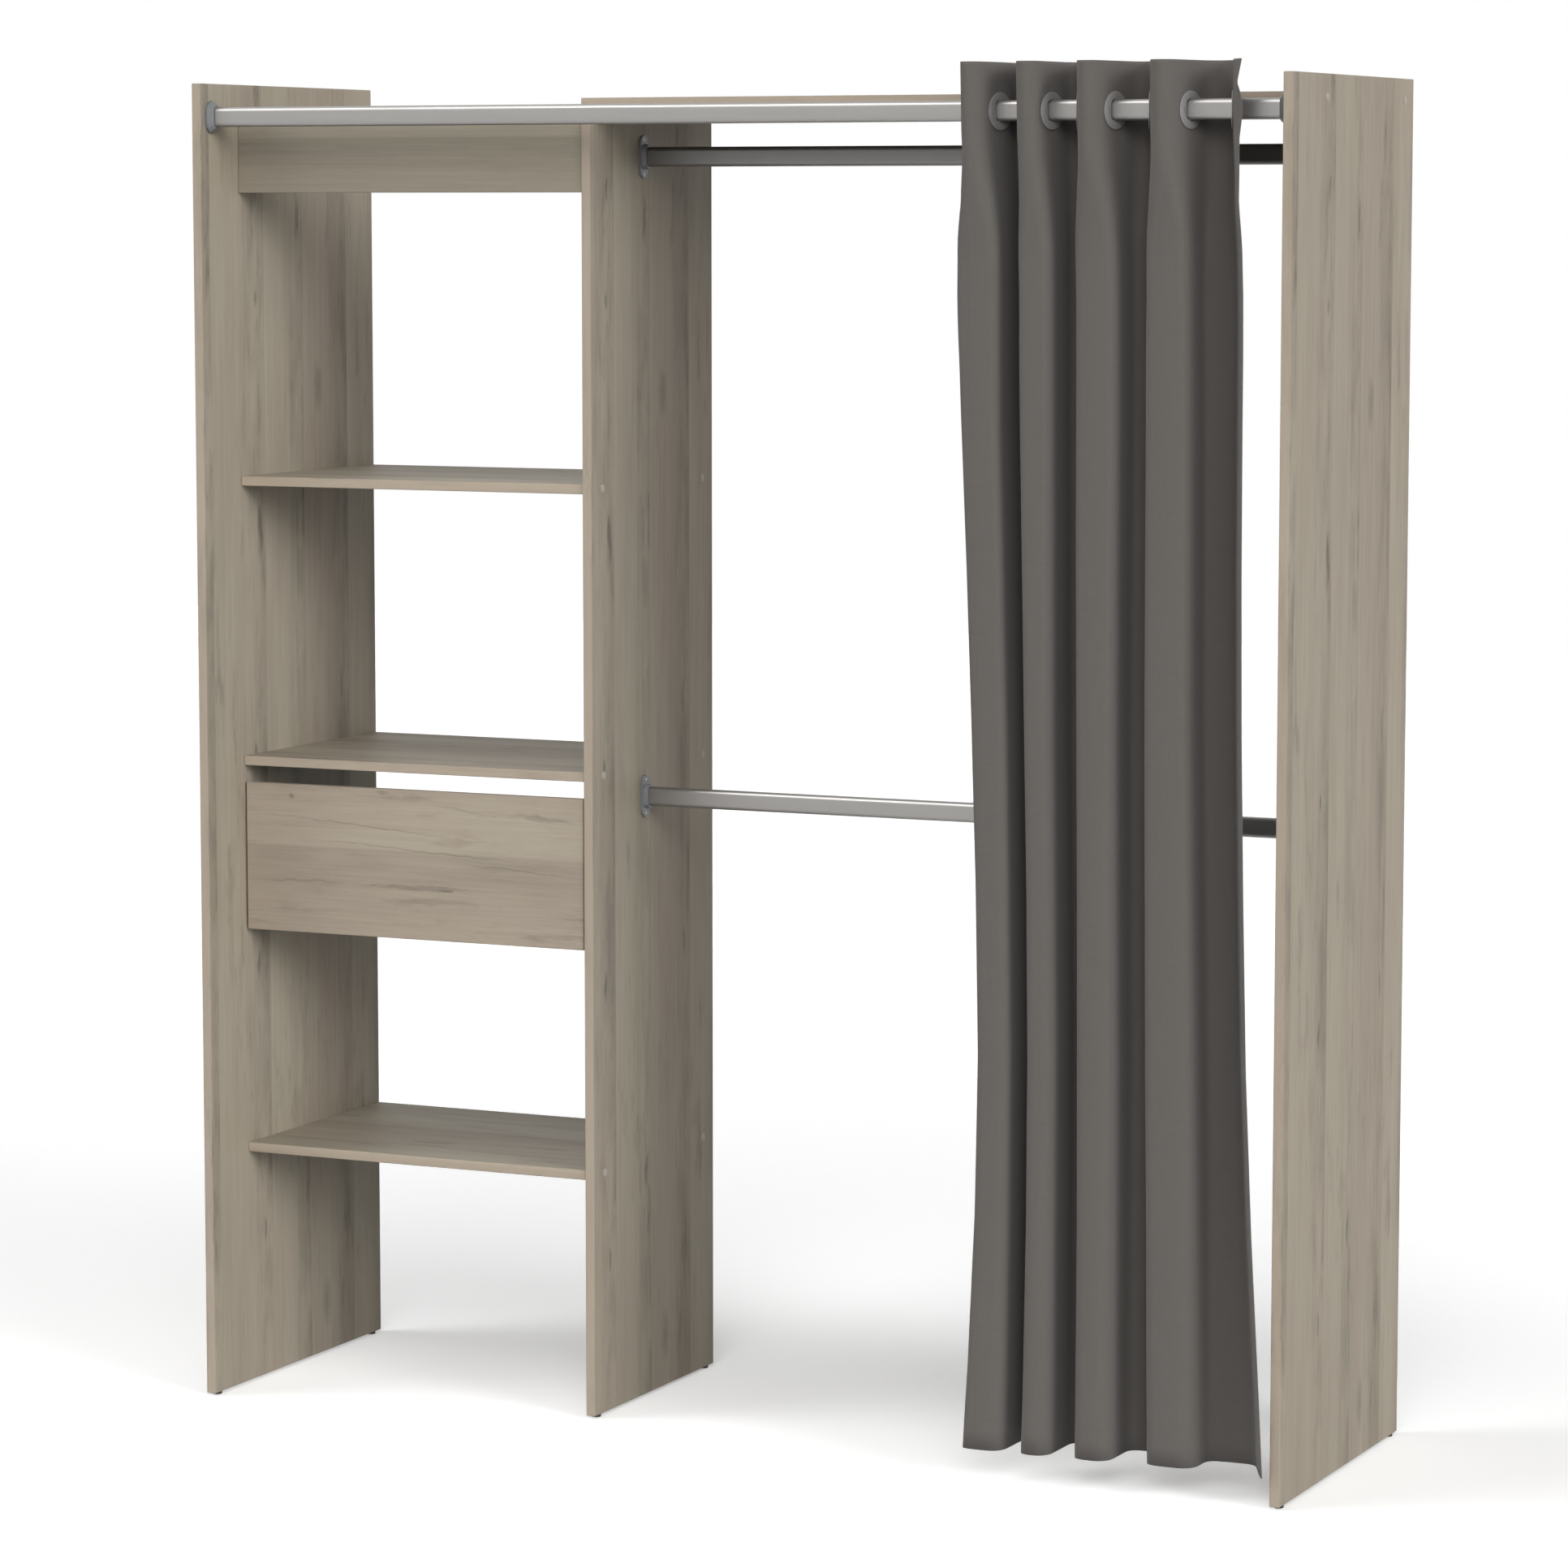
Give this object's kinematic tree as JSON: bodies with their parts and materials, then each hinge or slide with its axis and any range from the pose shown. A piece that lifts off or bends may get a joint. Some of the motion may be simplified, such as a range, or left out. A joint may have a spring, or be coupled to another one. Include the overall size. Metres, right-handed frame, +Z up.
{
  "type": "wardrobe",
  "caption": "Open-front wardrobe with shelves, a handleless drawer, hanging rods and a pleated eyelet curtain on an oval front rod.",
  "frame": {"origin": "middle of the footprint, the curtain's folds included, on the floor under the glides", "axes": "+Z up, -Y towards the person in front, +X from the drawer bay to the hanging bay"},
  "size_m": [1.77, 0.5579, 2.0483],
  "materials": {
    "oak_decor": "matt grey-beige oak decor with fine grain",
    "hardboard": "matt",
    "rod_metal": "satin",
    "flange_grey": "satin grey",
    "runner_paint": "satin",
    "roller_nylon": "plain",
    "glide_plastic": "matt",
    "cap_plastic": "matt",
    "curtain_cloth": "plain weave, matt",
    "eyelet_grey": "satin grey"
  },
  "bodies": {
    "carcass": {"left_side_panel": "oak_decor", "centre_panel": "oak_decor", "right_side_panel": "oak_decor", "top_board": "oak_decor", "top_rail": "oak_decor", "upper_shelf": "oak_decor", "middle_shelf": "oak_decor", "lower_shelf": "oak_decor", "curtain_rod": "rod_metal", "upper_hanging_rod": "rod_metal", "lower_hanging_rod": "rod_metal", "curtain_rod_left_flange": "flange_grey", "curtain_rod_right_flange": "flange_grey", "upper_hanging_rod_left_flange": "flange_grey", "upper_hanging_rod_right_flange": "flange_grey", "lower_hanging_rod_left_flange": "flange_grey", "lower_hanging_rod_right_flange": "flange_grey", "cabinet_runner_left": "runner_paint", "cabinet_runner_right": "runner_paint", "left_front_glide": "glide_plastic", "left_rear_glide": "glide_plastic", "centre_front_glide": "glide_plastic", "centre_rear_glide": "glide_plastic", "right_front_glide": "glide_plastic", "right_rear_glide": "glide_plastic", "upper_shelf_left_front_screw": "cap_plastic", "upper_shelf_left_rear_screw": "cap_plastic", "upper_shelf_right_front_screw": "cap_plastic", "upper_shelf_right_rear_screw": "cap_plastic", "middle_shelf_left_front_screw": "cap_plastic", "middle_shelf_left_rear_screw": "cap_plastic", "middle_shelf_right_front_screw": "cap_plastic", "middle_shelf_right_rear_screw": "cap_plastic", "lower_shelf_left_front_screw": "cap_plastic", "lower_shelf_left_rear_screw": "cap_plastic", "lower_shelf_right_front_screw": "cap_plastic", "lower_shelf_right_rear_screw": "cap_plastic", "top_board_right_front_screw": "cap_plastic", "top_board_right_rear_screw": "cap_plastic"},
    "drawer": {"drawer_front": "oak_decor", "drawer_left_side": "oak_decor", "drawer_right_side": "oak_decor", "drawer_back": "oak_decor", "drawer_bottom": "hardboard", "drawer_runner_left": "runner_paint", "drawer_runner_right": "runner_paint"},
    "fixed_roller_left": {"cabinet_roller_left": "roller_nylon"},
    "moving_roller_left": {"drawer_roller_left": "roller_nylon"},
    "fixed_roller_right": {"cabinet_roller_right": "roller_nylon"},
    "moving_roller_right": {"drawer_roller_right": "roller_nylon"},
    "curtain_tail": {"curtain": "curtain_cloth", "curtain_eyelet_8": "eyelet_grey"},
    "curtain_lead": {"curtain_eyelet_1": "eyelet_grey"},
    "ring_2": {"curtain_eyelet_2": "eyelet_grey"},
    "ring_3": {"curtain_eyelet_3": "eyelet_grey"},
    "ring_4": {"curtain_eyelet_4": "eyelet_grey"},
    "ring_5": {"curtain_eyelet_5": "eyelet_grey"},
    "ring_6": {"curtain_eyelet_6": "eyelet_grey"},
    "ring_7": {"curtain_eyelet_7": "eyelet_grey"}
  },
  "joints": [
    {"name": "drawer_slide", "type": "slide", "parent": "carcass", "child": "drawer", "axis": [0, -1, 0], "range_m": [0, 0.27]},
    {"name": "fixed_roller_left_spin", "type": "hinge", "parent": "carcass", "child": "fixed_roller_left", "pos_m": [-0.86285, -0.10972, 0.7486], "axis": [1, 0, 0], "continuous": true},
    {"name": "moving_roller_left_spin", "type": "hinge", "parent": "drawer", "child": "moving_roller_left", "pos_m": [-0.86285, 0.20828, 0.7486], "axis": [1, 0, 0], "continuous": true},
    {"name": "fixed_roller_right_spin", "type": "hinge", "parent": "carcass", "child": "fixed_roller_right", "pos_m": [-0.28015, -0.10972, 0.7486], "axis": [1, 0, 0], "continuous": true},
    {"name": "moving_roller_right_spin", "type": "hinge", "parent": "drawer", "child": "moving_roller_right", "pos_m": [-0.28015, 0.20828, 0.7486], "axis": [1, 0, 0], "continuous": true},
    {"name": "curtain_slide", "type": "slide", "parent": "carcass", "child": "curtain_tail", "axis": [-1, 0, 0], "range_m": [0, 0.92]},
    {"name": "curtain_spread", "type": "slide", "parent": "curtain_tail", "child": "curtain_lead", "axis": [-1, 0, 0], "range_m": [0, 0.3], "deforming": ["curtain"]},
    {"name": "ring_2_slide", "type": "slide", "parent": "curtain_tail", "child": "ring_2", "axis": [-1, 0, 0], "range_m": [0, 0.2933]},
    {"name": "ring_3_slide", "type": "slide", "parent": "curtain_tail", "child": "ring_3", "axis": [-1, 0, 0], "range_m": [0, 0.2633]},
    {"name": "ring_4_slide", "type": "slide", "parent": "curtain_tail", "child": "ring_4", "axis": [-1, 0, 0], "range_m": [0, 0.2199]},
    {"name": "ring_5_slide", "type": "slide", "parent": "curtain_tail", "child": "ring_5", "axis": [-1, 0, 0], "range_m": [0, 0.1533]},
    {"name": "ring_6_slide", "type": "slide", "parent": "curtain_tail", "child": "ring_6", "axis": [-1, 0, 0], "range_m": [0, 0.0857]},
    {"name": "ring_7_slide", "type": "slide", "parent": "curtain_tail", "child": "ring_7", "axis": [-1, 0, 0], "range_m": [0, 0.0287]}
  ],
  "couplings": [
    {"joint": "fixed_roller_left_spin", "follows": "drawer_slide", "rad_per_m": 100},
    {"joint": "moving_roller_left_spin", "follows": "drawer_slide", "rad_per_m": 100},
    {"joint": "fixed_roller_right_spin", "follows": "drawer_slide", "rad_per_m": 100},
    {"joint": "moving_roller_right_spin", "follows": "drawer_slide", "rad_per_m": 100},
    {"joint": "ring_2_slide", "follows": "curtain_spread", "ratio": 0.9709},
    {"joint": "ring_3_slide", "follows": "curtain_spread", "ratio": 0.8709},
    {"joint": "ring_4_slide", "follows": "curtain_spread", "ratio": 0.7264},
    {"joint": "ring_5_slide", "follows": "curtain_spread", "ratio": 0.5045},
    {"joint": "ring_6_slide", "follows": "curtain_spread", "ratio": 0.279},
    {"joint": "ring_7_slide", "follows": "curtain_spread", "ratio": 0.0891}
  ]
}
